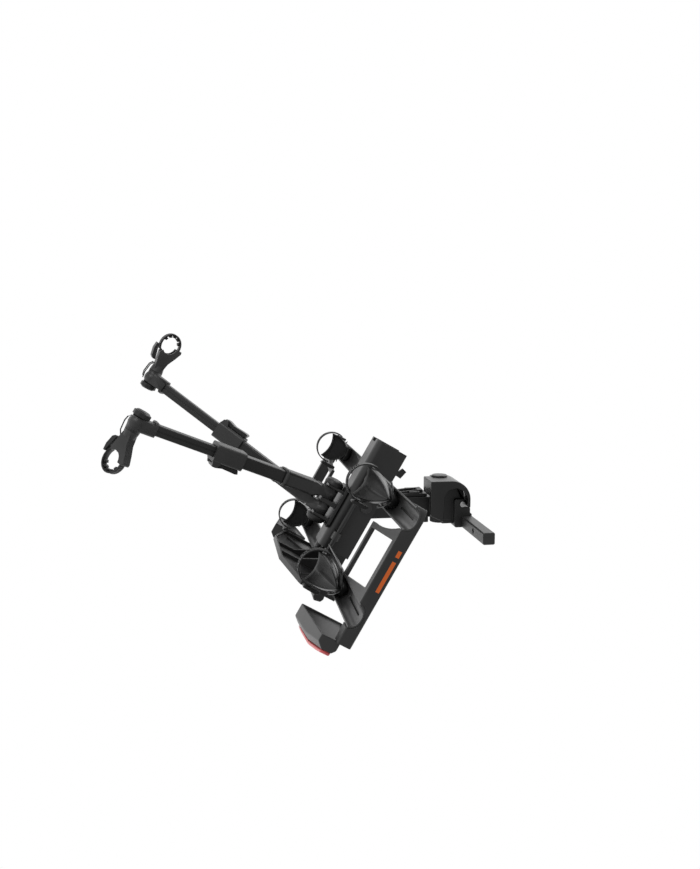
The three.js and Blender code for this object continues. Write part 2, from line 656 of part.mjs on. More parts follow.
function ellipse(inset) {
  const shape = new THREE.Shape();
  shape.absellipse(STRAP_CENTRE, 0, STRAP.rx - inset, STRAP.rz - inset, 0, 2 * Math.PI);
  return shape;
}

function jaw() {
  const base = rod([HEAD_AXIS_START, 0, 0], [42, 0, 0], 20, 20, 17);
  const leaf = extrude(outline([
    [34, -13], [58, -18], [80, -29], [101, -38], [108, -37], [106, 0], [84, 21], [60, 17], [34, 13]]),
  'y', -15, 15);
  const tubeRoom = extrude(ellipse(STRAP.thick + 5), 'y', -40, 40, 12);
  const strapRoom = extrude(ellipse(-GAP), 'y', -STRAP.half - GAP, STRAP.half + GAP, 12);
  return cut(join(base, leaf), tubeRoom, strapRoom);
}

function frameStrap() {
  const { rx, rz, thick, half, gapAngle } = STRAP;
  const end = radians(gapAngle);
  const steps = 28;
  const turns = Array.from({ length: steps + 1 }, (_, i) => -end + 2 * end * i / steps);
  const arc = (inset) => turns.map((a) => [
    STRAP_CENTRE + (rx - inset) * Math.cos(a), (rz - inset) * Math.sin(a)]);
  const band = outline([...arc(0), ...arc(thick).toReversed()]);
  return extrude(band, 'y', -half, half, 1);
}

const RATCHET_PIVOT = { x: 62, z: 27 };

function ratchet() {
  const { x, z } = RATCHET_PIVOT;
  const lever = outline([
    [x - 7, z - 5], [x + 26, z + 3], [x + 40, z + 6], [x + 40, z + 12],
    [x + 22, z + 14], [x - 2, z + 9], [x - 8, z + 2]]);
  return extrude(lever, 'y', -12, 12);
}

// ---- the whole carrier ------------------------------------------------------------------------------
const carrier = new THREE.Group();
carrier.name = 'hitch_bike_carrier';
const frame = new THREE.Group();
frame.position.set(...TILT_AXIS);
carrier.add(frame);
const tilting = new THREE.Group();
tilting.rotation.y = -radians(TILT);
frame.add(tilting);

place(frame, 'shank', shank(), powderCoat);
place(frame, 'hitch_block', hitchBlock(), castMetal);
place(frame, 'wedge_bolt', wedgeBolt(), zinc);
place(frame, 'hitch_cover', hitchCover(), plastic);
place(frame, 'swing_pin', swingPin(), rubber);
place(frame, 'swing_arm', swingArm(), castMetal);
place(frame, 'swing_top_plate', swingTopPlate(), plastic);
place(frame, 'tilt_axle', tiltAxle(), blackSteel);
place(tilting, 'main_beam', mainBeam(), anodised);
place(tilting, 'hub_base', hubBase(), castMetal);
place(tilting, 'hub_axle', hubAxle(), plastic);
place(tilting, 'hub_dome_rear', dome(-92 - GAP, -1, 28), plastic);

for (const [side, mirror] of [['far', 1], ['near', -1]]) {
  const wing = (solid) => (mirror > 0 ? solid : solid.mirror([0, 1, 0]));
  place(tilting, `side_frame_${side}`, wing(sideFrame()), powderCoat);
  for (const [end, x] of [['front', RAIL_FRONT], ['rear', RAIL_REAR]]) {
    place(tilting, `channel_${end}_${side}`, wing(channel(x)), anodised);
    place(tilting, `scoop_${end}_${side}`, wing(scoop(x)), plastic);
    place(tilting, `wheel_strap_${end}_${side}`, wing(hoop(x)), rubber);
    place(tilting, `wheel_buckle_${end}_${side}`, wing(buckle(x)), plastic);
  }
  place(tilting, `lamp_housing_${side}`, wing(lampHousing()), plastic);
  place(tilting, `lamp_lens_${side}`, wing(lampLens()), lens);
}

place(tilting, 'latch_pin', latchPin(), blackSteel);
place(tilting, 'beam_latch', beamLatch(), blackSteel);
place(tilting, 'plate_panel', platePanel(), plastic);
place(tilting, 'foot_pedal', footPedal(), plastic);
place(tilting, 'wing_hinge_far', wingHinge(), blackSteel);
place(tilting, 'wing_hinge_near', wingHinge().mirror([0, 1, 0]), blackSteel);

for (const [name, { side, x, lean, cross, reach, headTurn }] of Object.entries(ARMS)) {
  const turn = side < 0 ? 180 : 0;
  const arm = new THREE.Group();
  arm.position.set(x, 0, HUB.axisZ);
  arm.rotation.set(-side * radians(lean), radians(cross), 0);
  tilting.add(arm);
  const turned = new THREE.Group();
  turned.rotation.z = radians(turn);
  arm.add(turned);
  const elbowFrame = new THREE.Group();
  elbowFrame.position.z = reach;
  turned.add(elbowFrame);
  const head = new THREE.Group();
  head.rotation.y = -radians(HEAD.rise);
  elbowFrame.add(head);
  const clamp = new THREE.Group();
  clamp.rotation.x = radians(headTurn);
  head.add(clamp);
  place(arm, `arm_sleeve_${name}`, armSleeve(cross), castMetal);
  place(arm, `arm_mid_tube_${name}`, midTube(), anodised);
  place(turned, `clamp_box_${name}`, clampBox(), plastic);
  place(turned, `clamp_lever_${name}`, clampLever(), plastic);
  place(turned, `arm_upper_tube_${name}`, upperTube(reach), anodised);
  place(elbowFrame, `elbow_${name}`, elbow(), castMetal);
  place(head, `knob_${name}`, knob(), plastic);
  place(clamp, `jaw_${name}`, jaw(), plastic);
  place(clamp, `frame_strap_${name}`, frameStrap(), rubber);
  place(clamp, `ratchet_${name}`, ratchet(), plastic);
}
export default carrier;
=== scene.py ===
import json
import math

import bmesh
import bpy
from mathutils import Matrix, Vector
from mathutils.bvhtree import BVHTree


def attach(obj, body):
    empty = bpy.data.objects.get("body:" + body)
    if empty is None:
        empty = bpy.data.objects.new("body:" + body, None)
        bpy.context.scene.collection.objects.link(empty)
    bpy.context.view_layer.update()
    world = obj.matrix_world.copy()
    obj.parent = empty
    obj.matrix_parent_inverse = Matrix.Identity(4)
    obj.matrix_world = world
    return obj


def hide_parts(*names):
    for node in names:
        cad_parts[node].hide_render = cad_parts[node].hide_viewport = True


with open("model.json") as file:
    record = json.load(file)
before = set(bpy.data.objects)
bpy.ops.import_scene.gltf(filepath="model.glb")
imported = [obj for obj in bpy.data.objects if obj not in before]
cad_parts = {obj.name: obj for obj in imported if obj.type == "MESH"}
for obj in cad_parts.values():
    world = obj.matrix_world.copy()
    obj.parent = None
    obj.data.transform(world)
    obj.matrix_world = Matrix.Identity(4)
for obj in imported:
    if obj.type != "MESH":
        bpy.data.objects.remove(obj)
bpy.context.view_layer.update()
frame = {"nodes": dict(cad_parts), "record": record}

SCENE = bpy.context.scene
NODES = frame["nodes"]
NODE_BODY = {n: b for b, names in frame["record"]["behaviour"]["bodies"].items() for n in names}

# ---- the part's own frames, in millimetres and degrees -------------------------------------------
MILLIMETRE = 0.001
TILT_AXIS = (-275, 327, 35)
TILT = math.radians(60)                   # how far the carrier hangs down at rest
CARRIER = (Matrix.Scale(MILLIMETRE, 4) @ Matrix.Translation(TILT_AXIS)
           @ Matrix.Rotation(-TILT, 4, "Y"))
ARMS = {
    "near": {"side": -1, "x": -19, "lean": 20.1, "cross": -5.2, "reach": 599, "turn": 55},
    "far": {"side": 1, "x": -66, "lean": 19.2, "cross": 6.7, "reach": 629.5, "turn": 35},
}
HUB_Z = 101
HEAD_RISE = math.radians(7.5)
RAILS = {"front": 80.6, "rear": -166}
SIDES = {"far": 1, "near": -1}


def arm_frame(name):
    """The arm's frame, along +z from the hub axis, with its clamp head towards +x."""
    arm = ARMS[name]
    place = Matrix.Translation((arm["x"], 0, HUB_Z))
    lean = Matrix.Rotation(math.radians(-arm["side"] * arm["lean"]), 4, "X")
    cross = Matrix.Rotation(math.radians(arm["cross"]), 4, "Y")
    turn = Matrix.Rotation(math.radians(180 if arm["side"] < 0 else 0), 4, "Z")
    return CARRIER @ place @ lean @ cross @ turn


def head_frame(name):
    """The clamp head's frame at the top of the arm, turned about its own x."""
    up = Matrix.Translation((0, 0, ARMS[name]["reach"]))
    raised = arm_frame(name) @ up @ Matrix.Rotation(-HEAD_RISE, 4, "Y")
    return raised @ Matrix.Rotation(math.radians(ARMS[name]["turn"]), 4, "X")


def side_frame(side):
    """The wing's frame: drawn on the far side and mirrored for the near one."""
    return CARRIER if SIDES[side] > 0 else CARRIER @ Matrix.Scale(-1, 4, (0, 1, 0))


# ---- materials -----------------------------------------------------------------------------------
def tree_of(name):
    """A new material with its node tree and its shader."""
    made = bpy.data.materials.new(name)
    made.use_nodes = True
    tree = made.node_tree
    return made, tree, tree.nodes["Principled BSDF"]


def linked(tree, kind, inputs=None, **settings):
    """A new node; an input that is a socket is linked, and any other is set."""
    node = tree.nodes.new(kind)
    for key, value in settings.items():
        setattr(node, key, value)
    for key, value in (inputs or {}).items():
        if isinstance(value, bpy.types.NodeSocket):
            tree.links.new(value, node.inputs[key])
        else:
            node.inputs[key].default_value = value
    return node


def grey(level):
    """A neutral colour."""
    return (level, level, level, 1.0)


def mixed_colour(tree, factor, first, second):
    """A colour between two; each argument is a socket or a plain value."""
    node = tree.nodes.new("ShaderNodeMix")
    node.data_type = "RGBA"
    for index, value in ((0, factor), (6, first), (7, second)):
        if isinstance(value, bpy.types.NodeSocket):
            tree.links.new(value, node.inputs[index])
        else:
            node.inputs[index].default_value = value
    return node.outputs[2]


def coated(name, dark, light, rough, grain, bump, metallic=0.0, specular=0.5, stretch=(1, 1, 1),
           edge=0.0, speck=0.0):
    """A finish that varies: soft patches some centimetres wide, a grain counted per metre, and a
    painted highlight that lightens the convex edges.
    """
    made, tree, shader = tree_of(name)
    coords = linked(tree, "ShaderNodeTexCoord").outputs["Object"]
    place = linked(tree, "ShaderNodeMapping", {"Vector": coords, "Scale": stretch,
                                               "Rotation": (0, TILT, 0)})
    mottle = linked(tree, "ShaderNodeTexNoise", {"Vector": coords, "Scale": 14.0, "Detail": 3.0})
    fine = linked(tree, "ShaderNodeTexNoise", {"Vector": place.outputs["Vector"], "Scale": grain,
                                               "Detail": 4.0, "Roughness": 0.6})
    cloud = linked(tree, "ShaderNodeMapRange", {"Value": mottle.outputs["Fac"], "From Min": 0.3,
                                                "From Max": 0.7})
    last = mixed_colour(tree, cloud.outputs["Result"], grey(dark), grey(light))
    # Painted highlight: where edge is set, convex edges are lightened towards a paler grey.
    if edge:
        uneven_print_and_edge_highlight = linked(tree, "ShaderNodeMapRange", {
            "Value": linked(tree, "ShaderNodeNewGeometry").outputs["Pointiness"],
            "From Min": 0.52, "From Max": 0.66, "To Max": edge})
        last = mixed_colour(tree, uneven_print_and_edge_highlight.outputs["Result"], last, grey(light * 4 + 0.05))
    if speck:
        dots = linked(tree, "ShaderNodeTexVoronoi", {"Vector": coords, "Scale": grain * 0.7})
        mark = linked(tree, "ShaderNodeMapRange", {"Value": dots.outputs["Distance"],
                                                   "From Min": 0.0, "From Max": 0.22,
                                                   "To Min": speck, "To Max": 0.0})
        last = mixed_colour(tree, mark.outputs["Result"], last, grey(light * 2.2 + 0.02))
    tree.links.new(last, shader.inputs["Base Color"])
    gloss = linked(tree, "ShaderNodeMapRange", {"Value": fine.outputs["Fac"], "From Min": 0.25,
                                                "From Max": 0.75, "To Min": rough - 0.05,
                                                "To Max": rough + 0.07})
    tree.links.new(gloss.outputs["Result"], shader.inputs["Roughness"])
    relief = linked(tree, "ShaderNodeBump", {"Height": fine.outputs["Fac"], "Strength": 0.6,
                                             "Distance": bump})
    tree.links.new(relief.outputs["Normal"], shader.inputs["Normal"])
    shader.inputs["Metallic"].default_value = metallic
    shader.inputs["Specular IOR Level"].default_value = specular
    return made


PLASTIC = coated("moulded_plastic", 0.0085, 0.0125, 0.42, 1500, 0.00004, edge=0.16, specular=0.42)
GLOSS_PLASTIC = coated("smooth_plastic", 0.008, 0.012, 0.3, 1100, 0.00002, edge=0.14,
                       specular=0.45)
SCOOP_PLASTIC = coated("scoop_plastic", 0.002, 0.004, 0.28, 900, 0.00002, edge=0.3, specular=0.24)
POWDER = coated("powder_coat", 0.016, 0.022, 0.42, 900, 0.00006, edge=0.2, specular=0.5,
                speck=0.04)
CAST = coated("cast_metal", 0.0085, 0.013, 0.4, 700, 0.00008, edge=0.2, specular=0.5, speck=0.06)
EXTRUSION = coated("anodised_extrusion", 0.009, 0.013, 0.36, 900, 0.00002, edge=0.2,
                   specular=0.55, stretch=(0.03, 1, 1))
CHANNEL_ALLOY = coated("anodised_channel", 0.016, 0.024, 0.34, 900, 0.00002, edge=0.25,
                       specular=0.7, stretch=(1, 0.03, 1))
ARM_TUBE = coated("anodised_tube", 0.009, 0.013, 0.38, 900, 0.00002, edge=0.16, specular=0.45)
ARM_CAST = coated("arm_cast", 0.02, 0.029, 0.4, 800, 0.00005, edge=0.2, specular=0.5, speck=0.04)
LAMP_PLASTIC = coated("lamp_plastic", 0.021, 0.03, 0.36, 1300, 0.00003, edge=0.12, specular=0.5)
STRAP = coated("strap_rubber", 0.008, 0.012, 0.45, 1300, 0.00004, edge=0.1, specular=0.45)
STEEL = coated("steel_coat", 0.013, 0.019, 0.38, 800, 0.00005, edge=0.25, specular=0.55,
               speck=0.04)
ZINC = coated("zinc_plate", 0.62, 0.8, 0.3, 500, 0.00002, metallic=1.0, speck=0.1)
FITTING = coated("black_fitting", 0.012, 0.018, 0.34, 900, 0.00003, edge=0.3, specular=0.55)
PIN_BLACK = coated("pin_black", 0.006, 0.009, 0.34, 1200, 0.00003, edge=0.15)


def lens_material(name, red, rough):
    """Moulded red lens with a fine prism relief."""
    made, tree, shader = tree_of(name)
    coords = linked(tree, "ShaderNodeTexCoord").outputs["Object"]
    place = linked(tree, "ShaderNodeMapping", {"Vector": coords, "Rotation": (0, TILT, 0)})
    cells = linked(tree, "ShaderNodeTexVoronoi", {"Vector": place.outputs["Vector"],
                                                  "Scale": 260.0}, distance="CHEBYCHEV")
    noise = linked(tree, "ShaderNodeTexNoise", {"Vector": coords, "Scale": 60.0})
    tone = mixed_colour(tree, noise.outputs["Fac"], (red, red * 0.17, red * 0.17, 1),
                        (red * 0.85, red * 0.11, red * 0.12, 1))
    tree.links.new(tone, shader.inputs["Base Color"])
    relief = linked(tree, "ShaderNodeBump", {"Height": cells.outputs["Distance"],
                                             "Strength": 0.08, "Distance": 0.0001})
    tree.links.new(relief.outputs["Normal"], shader.inputs["Normal"])
    shader.inputs["Roughness"].default_value = rough
    shader.inputs["Coat Weight"].default_value = 0.6
    shader.inputs["Coat Roughness"].default_value = 0.06
    return made


def painted(name, colour, rough):
    """Printed paint with a little unevenness."""
    made, tree, shader = tree_of(name)
    coords = linked(tree, "ShaderNodeTexCoord").outputs["Object"]
    noise = linked(tree, "ShaderNodeTexNoise", {"Vector": coords, "Scale": 400.0, "Detail": 3.0})
    uneven_print_and_edge_highlight = [c * 0.85 for c in colour]
    tone = mixed_colour(tree, noise.outputs["Fac"], (*uneven_print_and_edge_highlight, 1), (*colour, 1))
    tree.links.new(tone, shader.inputs["Base Color"])
    relief = linked(tree, "ShaderNodeBump", {"Height": noise.outputs["Fac"], "Strength": 0.4,
                                             "Distance": 0.00004})
    tree.links.new(relief.outputs["Normal"], shader.inputs["Normal"])
    shader.inputs["Roughness"].default_value = rough
    return made


LENS_RED = lens_material("lens_red", 0.72, 0.22)
ORANGE = painted("orange_print", (0.72, 0.13, 0.01), 0.45)

# Each CAD node's finish, its record slot, and the bevel of its outer edges in millimetres.
FINISHES = {
    "shank": (STEEL, "steel_coat", 1.6),
    "hitch_block": (CAST, "cast_metal", 1.6),
    "wedge_bolt": (ZINC, "zinc", 0.8),
    "hitch_cover": (GLOSS_PLASTIC, "moulded_plastic", 2.2),
    "swing_pin": (PIN_BLACK, "pin_black", 1.2),
    "swing_arm": (CAST, "cast_metal", 2.0),
    "swing_top_plate": (PLASTIC, "moulded_plastic", 1.5),
    "tilt_axle": (FITTING, "steel_coat", 1.2),
    "main_beam": (EXTRUSION, "anodised", 2.0),
    "hub_base": (CAST, "cast_metal", 1.5),
    "latch_pin": (FITTING, "steel_coat", 0.5),
    "beam_latch": (FITTING, "steel_coat", 0.8),
    "plate_panel": (PLASTIC, "moulded_plastic", 1.2),
    "foot_pedal": (PLASTIC, "moulded_plastic", 2.5),
    "wing_hinge": (FITTING, "steel_coat", 0.8),
    "side_frame": (POWDER, "frame_coat", 2.4),
    "channel": (CHANNEL_ALLOY, "anodised", 0.8),
    "wheel_buckle": (PLASTIC, "moulded_plastic", 1.2),
    "lamp_housing": (LAMP_PLASTIC, "moulded_plastic", 2.2),
    "arm_sleeve": (ARM_CAST, "cast_metal", 1.5),
    "arm_mid_tube": (ARM_TUBE, "anodised", 1.0),
    "clamp_box": (ARM_CAST, "moulded_plastic", 1.6),
    "clamp_lever": (GLOSS_PLASTIC, "moulded_plastic", 1.4),
    "arm_upper_tube": (ARM_TUBE, "anodised", 0.6),
    "elbow": (ARM_CAST, "cast_metal", 1.5),
    "knob": (PLASTIC, "moulded_plastic", 1.4),
    "jaw": (ARM_CAST, "moulded_plastic", 0.7),
    "ratchet": (PLASTIC, "moulded_plastic", 1.2),
    "hub_axle": (PLASTIC, "moulded_plastic", 1.0),
    "hub_dome_rear": (PLASTIC, "moulded_plastic", 1.0),
}
# Nodes that a piece with a mesh of its own stands for.
OWN_MESH = ("scoop", "wheel_strap", "frame_strap", "lamp_lens")


def finish_of(node):
    """The row of FINISHES whose key is the longest start of the node's name."""
    return FINISHES[max((k for k in FINISHES if node.startswith(k)), key=len)]


# ---- pieces --------------------------------------------------------------------------------------
def piece(name, mesh, body, finish):
    """An object that rides on a CAD body and takes the given finish."""
    made = bpy.data.objects.new(name, mesh)
    SCENE.collection.objects.link(made)
    made.data.materials.append(finish)
    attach(made, body)
    return made


def strays(made):
    """How far the rounded mesh comes away from the sharp one, in metres."""
    made.data.calc_loop_triangles()
    sharp = BVHTree.FromPolygons([v.co for v in made.data.vertices],
                                 [t.vertices[:] for t in made.data.loop_triangles])
    graph = bpy.context.evaluated_depsgraph_get()
    shown = made.evaluated_get(graph)
    far = max(sharp.find_nearest(v.co)[3] for v in shown.to_mesh().vertices)
    shown.to_mesh_clear()
    return far


# The shares of its width that a bevel may keep; it goes when even the last one spikes.
BEVEL_SHARES = (1, 0.7, 0.45, 0.3, 0.15)


def soften(made, width, angle=34):
    """Rounds the sharp edges, less where they crowd, and evens the normals beside them."""
    if width:
        bevel = made.modifiers.new("edges", "BEVEL")
        bevel.segments = 2
        bevel.limit_method = "ANGLE"
        bevel.angle_limit = math.radians(angle)
        bevel.use_clamp_overlap = False
        bevel.harden_normals = True
        bevel.miter_outer = "MITER_ARC"
        for share in BEVEL_SHARES:
            bevel.width = width * share * MILLIMETRE
            if strays(made) < 0.5 * bevel.width:
                break
        else:
            made.modifiers.remove(bevel)
    made.modifiers.new("normals", "WEIGHTED_NORMAL").keep_sharp = True


def mesh_of(name, bm, frame_matrix=None):
    """A mesh from the bmesh, placed by the matrix, which may mirror it."""
    if frame_matrix is not None:
        bm.transform(frame_matrix)
        if frame_matrix.determinant() < 0:
            bmesh.ops.reverse_faces(bm, faces=bm.faces)
    for face in bm.faces:
        face.smooth = True
    mesh = bpy.data.meshes.new(name)
    bm.to_mesh(mesh)
    bm.free()
    return mesh


# The face that carries the print lies past this y, in metres. Its ends and edges are in the
# carrier's millimetres: a stripe between the first two ends, and a bar between the last two.
PRINT = {"face": -0.29, "ends": (-97, -20, -9, 7), "edges": (23, 32)}
ALIGNED = 0.999                           # the least cosine for a face that looks a given way


def print_stripe(bm):
    """Marks out a plain stripe and a short bar on the near side frame's outer face."""
    def outer():
        return [f for f in bm.faces
                if f.normal.y < -ALIGNED and f.calc_center_median().y < PRINT["face"]]

    def cut(point, direction):
        faces = outer()
        edges = dict.fromkeys(e for f in faces for e in f.edges)
        points = dict.fromkeys(v for f in faces for v in f.verts)
        turned = (CARRIER.to_3x3() @ Vector(direction)).normalized()
        bmesh.ops.bisect_plane(bm, geom=[*faces, *edges, *points], dist=1e-6,
                               plane_co=CARRIER @ Vector(point), plane_no=turned)

    for along in PRINT["ends"]:
        cut((along, 0, 0), (1, 0, 0))
    for level in PRINT["edges"]:
        cut((0, 0, level), (0, 0, 1))
    stripe_start, stripe_end, bar_start, bar_end = PRINT["ends"]
    low, high = PRINT["edges"]
    for face in outer():
        spot = CARRIER.inverted() @ face.calc_center_median()
        along = stripe_start < spot.x < stripe_end or bar_start < spot.x < bar_end
        if low < spot.z < high and along:
            face.material_index = 1


SHELL = {"rim": 0.0035, "draft": 0.001, "depth": 0.004}    # in metres


def hollow_back(bm):
    """Opens the lamp housing's inner face into a shallow shell whose faces take the second
    material, a darker plastic as painted shade.
    """
    inward = (CARRIER.to_3x3() @ Vector((1, 0, 0))).normalized()
    faces = [f for f in bm.faces if f.normal.dot(inward) > ALIGNED]
    bmesh.ops.inset_region(bm, faces=faces, thickness=SHELL["rim"], depth=0)
    bmesh.ops.inset_region(bm, faces=faces, thickness=SHELL["draft"], depth=-SHELL["depth"])
    # Painted shade: the shell's faces take the darker second material.
    for face in faces:
        face.material_index = 1


MERGE = 2e-5                              # metres between points that are one
FLAT = math.radians(0.7)                  # the most that faces of one flat may turn


def refined(node):
    """A CAD node's own shape with rounded edges and its finish."""
    finish, slot, width = finish_of(node)
    bm = bmesh.new()
    bm.from_mesh(NODES[node].data)
    bmesh.ops.remove_doubles(bm, verts=bm.verts, dist=MERGE)
    bmesh.ops.dissolve_limit(bm, angle_limit=FLAT, verts=bm.verts, edges=bm.edges)
    if node == "side_frame_near":
        print_stripe(bm)
    if node.startswith("lamp_housing"):
        hollow_back(bm)
    made = piece(node + "_finished", mesh_of(node, bm), NODE_BODY[node], finish)
    if node == "side_frame_near":
        made.data.materials.append(ORANGE)
    # The darker plastic on the lamp's shell is painted shade.
    if node.startswith("lamp_housing"):
        made.data.materials.append(PLASTIC)
    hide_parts(node)
    soften(made, width)


for node in sorted(NODES):
    if not node.startswith(OWN_MESH):
        refined(node)


def loft(bm, rings):
    """Skins rings that all have the same number of points, and closes both ends."""
    rows = [[bm.verts.new(p) for p in ring] for ring in rings]
    count = len(rows[0])
    for lower, upper in zip(rows, rows[1:]):
        for i in range(count):
            j = (i + 1) % count
            bm.faces.new((lower[i], lower[j], upper[j], upper[i]))
    bm.faces.new(rows[0][::-1])
    bm.faces.new(rows[-1])
    bmesh.ops.recalc_face_normals(bm, faces=bm.faces)


def box(bm, centre, size, turn):
    """A small block, such as one tooth of a strap, added to a piece."""
    made = bmesh.ops.create_cube(bm, size=1)["verts"]
    shape = Matrix.Translation(centre) @ turn @ Matrix.Diagonal((*size, 1))
    bmesh.ops.transform(bm, matrix=shape, verts=made)


# ---- lamp lenses ---------------------------------------------------------------------------------
LAMP = {"rear": -285.4, "deep": 10.4, "inner": 432, "bend": 520, "outer": 602, "drop": 16,
        "low": (11, 45), "high": (95, 65)}
# Across the lens bar: the share of its depth, and the share of its height.
LENS_PROFILE = ((0, 0), (0.75, 0), (0.94, 0.04), (1, 0.12),
                (1, 0.88), (0.94, 0.96), (0.75, 1), (0, 1))
LENS_STEPS = 14


def lens_piece(side):
    """A bowed bar of red lens along the lamp's rear face."""
    inner, bend, outer = LAMP["inner"], LAMP["bend"], LAMP["outer"]
    (low_in, low_out), (high_in, high_out) = LAMP["low"], LAMP["high"]
    rings = []
    for i in range(LENS_STEPS + 1):
        t = i / LENS_STEPS
        y = inner + (outer - inner) * t
        back = LAMP["rear"] + LAMP["drop"] * max(0, y - bend) / (outer - bend)
        deep = LAMP["deep"] * (1 - abs(2 * t - 1) ** 6 * 0.35)
        low, high = low_in + (low_out - low_in) * t, high_in + (high_out - high_in) * t
        rings.append([(back - x * deep, y, low + (high - low) * z) for x, z in LENS_PROFILE])
    bm = bmesh.new()
    loft(bm, rings)
    node = f"lamp_lens_{side}"
    made = piece(node + "_bar", mesh_of(node, bm, side_frame(side)), NODE_BODY[node], LENS_RED)
    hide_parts(node)
    soften(made, 0)


for side in SIDES:
    lens_piece(side)

# ---- wheel scoops and their straps ---------------------------------------------------------------
HOOP = {"y": 326, "z": 100, "outer": 48.8, "inner": 45.6, "width": 20}
# In millimetres, but lip is a share of the width, and below and above count facets.
SCOOP = {"length": 114, "half": 41.5, "bottom": 49.5, "tip_top": 62, "rise": 17,
         "dip": 10, "fold": 6.5, "lip": 0.94, "below": 28, "above": 24}
STATIONS = (0, 0.02, 0.06, 0.12, 0.2, 0.28, 0.36, 0.44, 0.52, 0.6, 0.68, 0.75, 0.81, 0.86, 0.9,
            0.935, 0.96, 0.98, 0.992)
# Steps of the hollow behind the mouth: how deep, its share of the width, its level, and its share
# of the height.
HOLLOW = ((0, 0.9, 80, 0.88), (1, 0.89, 80, 0.87), (7, 0.87, 79, 0.8), (8, 0.84, 79, 0.76))
MOUTH_LEVEL = 83
HOLLOW_END = 9
# Half the foot's outline as (x, z), and its places along the wing with their shares of the width.
FOOT = ((9, 30), (16, 34), (21, 40), (23, 56))
FOOT_STATIONS = ((329, 1), (381, 1), (426, 0.6))
# The flange starts and ends on the flanks and runs round the tip.
FLANGE = {"start": 0.34, "run": 0.65, "steps": 40, "off": 1.6, "past": 1.2, "drop": 7,
          "section": ((-3.4, -1.2), (0.5, -1.2), (0.5, 1.0), (-3.4, 1.0))}
# The black block in the tip's slot is painted shade: it stands where the slot's dark hole would be,
# and no hole is cut.
SLOT = {"along": 88, "level": 71, "size": (7, 13, 1.6), "slope": math.radians(20)}


def scoop_half(t):
    """Half the scoop's width, from its mouth at 0 to its tip at 1."""
    return SCOOP["half"] * max(0.0, 1 - t ** 1.7) ** 0.85


def scoop_ring(t):
    """A cross-section of the scoop: round below, a shallow groove with a raised lip on top."""
    half = scoop_half(t)
    y = HOOP["y"] + SCOOP["length"] * t
    middle = HOOP["z"] + (SCOOP["tip_top"] - HOOP["z"]) * t ** 0.9
    rise = SCOOP["rise"] * (1 - t)
    depth = middle - SCOOP["bottom"]
    spread = math.asin(rise / depth)
    dip = SCOOP["dip"] * (1 - t)
    points = []
    for i in range(SCOOP["below"] + 1):
        angle = math.pi - spread + (math.pi + 2 * spread) * i / SCOOP["below"]
        points.append((half * math.cos(angle), y, middle + depth * math.sin(angle)))
    lip = half * math.cos(spread)
    points.append((lip - 0.5, y, middle + rise + 0.9))
    for i in range(SCOOP["above"] + 1):
        across = SCOOP["lip"] * (1 - 2 * i / SCOOP["above"])
        groove = dip * (1 - (across / SCOOP["lip"]) ** 2)
        fold = SCOOP["fold"] * math.sin(math.pi * t) ** 0.8 * math.exp(-abs(across) / 0.2)
        points.append((lip * across, y, middle + rise - 0.3 - groove + fold))
    points.append((-lip + 0.5, y, middle + rise + 0.9))
    return points


def scoop_piece(end, side):
    """The shell with its hollow mouth and foot, the flange round its tip, and a black block in its
    slot. The hollow's lighter faces are painted light, and the black block is painted shade.
    """
    bm = bmesh.new()
    mouth = scoop_ring(0)
    hollow = [[(x * wide, y + deep, level + (z - MOUTH_LEVEL) * tall) for x, y, z in mouth]
              for deep, wide, level, tall in HOLLOW]
    loft(bm, hollow[::-1] + [scoop_ring(t) for t in STATIONS])
    # Painted light: the hollow's faces take the second, lighter material, for the light its concave
    # inside catches.
    for face in bm.faces:
        if max(v.co.y for v in face.verts) < HOOP["y"] + HOLLOW_END:
            face.material_index = 1
    rings = []
    for y, size in FOOT_STATIONS:
        right = [(x * size, y, z) for x, z in FOOT]
        rings.append(right + [(-x, y, z) for x, y, z in reversed(right)])
    loft(bm, rings)
    node = f"scoop_{end}_{side}"
    place = side_frame(side) @ Matrix.Translation((RAILS[end], 0, 0))
    made = piece(node + "_shell", mesh_of(node, bm, place), NODE_BODY[node], SCOOP_PLASTIC)
    # The second material, the lighter powder coat, is painted light on the hollow.
    made.data.materials.append(POWDER)
    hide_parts(node)
    soften(made, 0)
    rim = bmesh.new()
    rings = []
    steps = FLANGE["steps"]
    for i in range(steps + 1):
        t = FLANGE["start"] + FLANGE["run"] * math.sin(math.pi * i / steps)
        sign = 1 if i <= steps // 2 else -1
        half = scoop_half(t) + FLANGE["off"]
        y = HOOP["y"] + SCOOP["length"] * t + FLANGE["past"] * t
        level = SCOOP["bottom"] + 1 + FLANGE["drop"] * (1 - t)
        rings.append([(sign * (half + a), y, level + b) for a, b in FLANGE["section"]])
    loft(rim, rings)
    flange = piece(node + "_flange", mesh_of(node + "_flange", rim, place), NODE_BODY[node],
                   SCOOP_PLASTIC)
    soften(flange, 0)
    # Painted shade: a black block stands for the dark inside of the tip's slot.
    hole_shade = bmesh.new()
    box(hole_shade, (0, HOOP["y"] + SLOT["along"], SLOT["level"]), SLOT["size"],
        Matrix.Rotation(-SLOT["slope"], 4, "X"))
    slot = piece(node + "_tip_hole_shade", mesh_of(node + "_slot", hole_shade, place), NODE_BODY[node],
                 PIN_BLACK)
    soften(slot, 0.4)


# Painted shade: a thin black sheet under each channel's slot.
# Each station is a place along the wing and half the width there.
SLOT_SHADE = {"stations": ((448, 5), (452, 7), (590, 7), (594, 5)), "low": 20.2, "high": 23.8,
         "flare": 1.5}


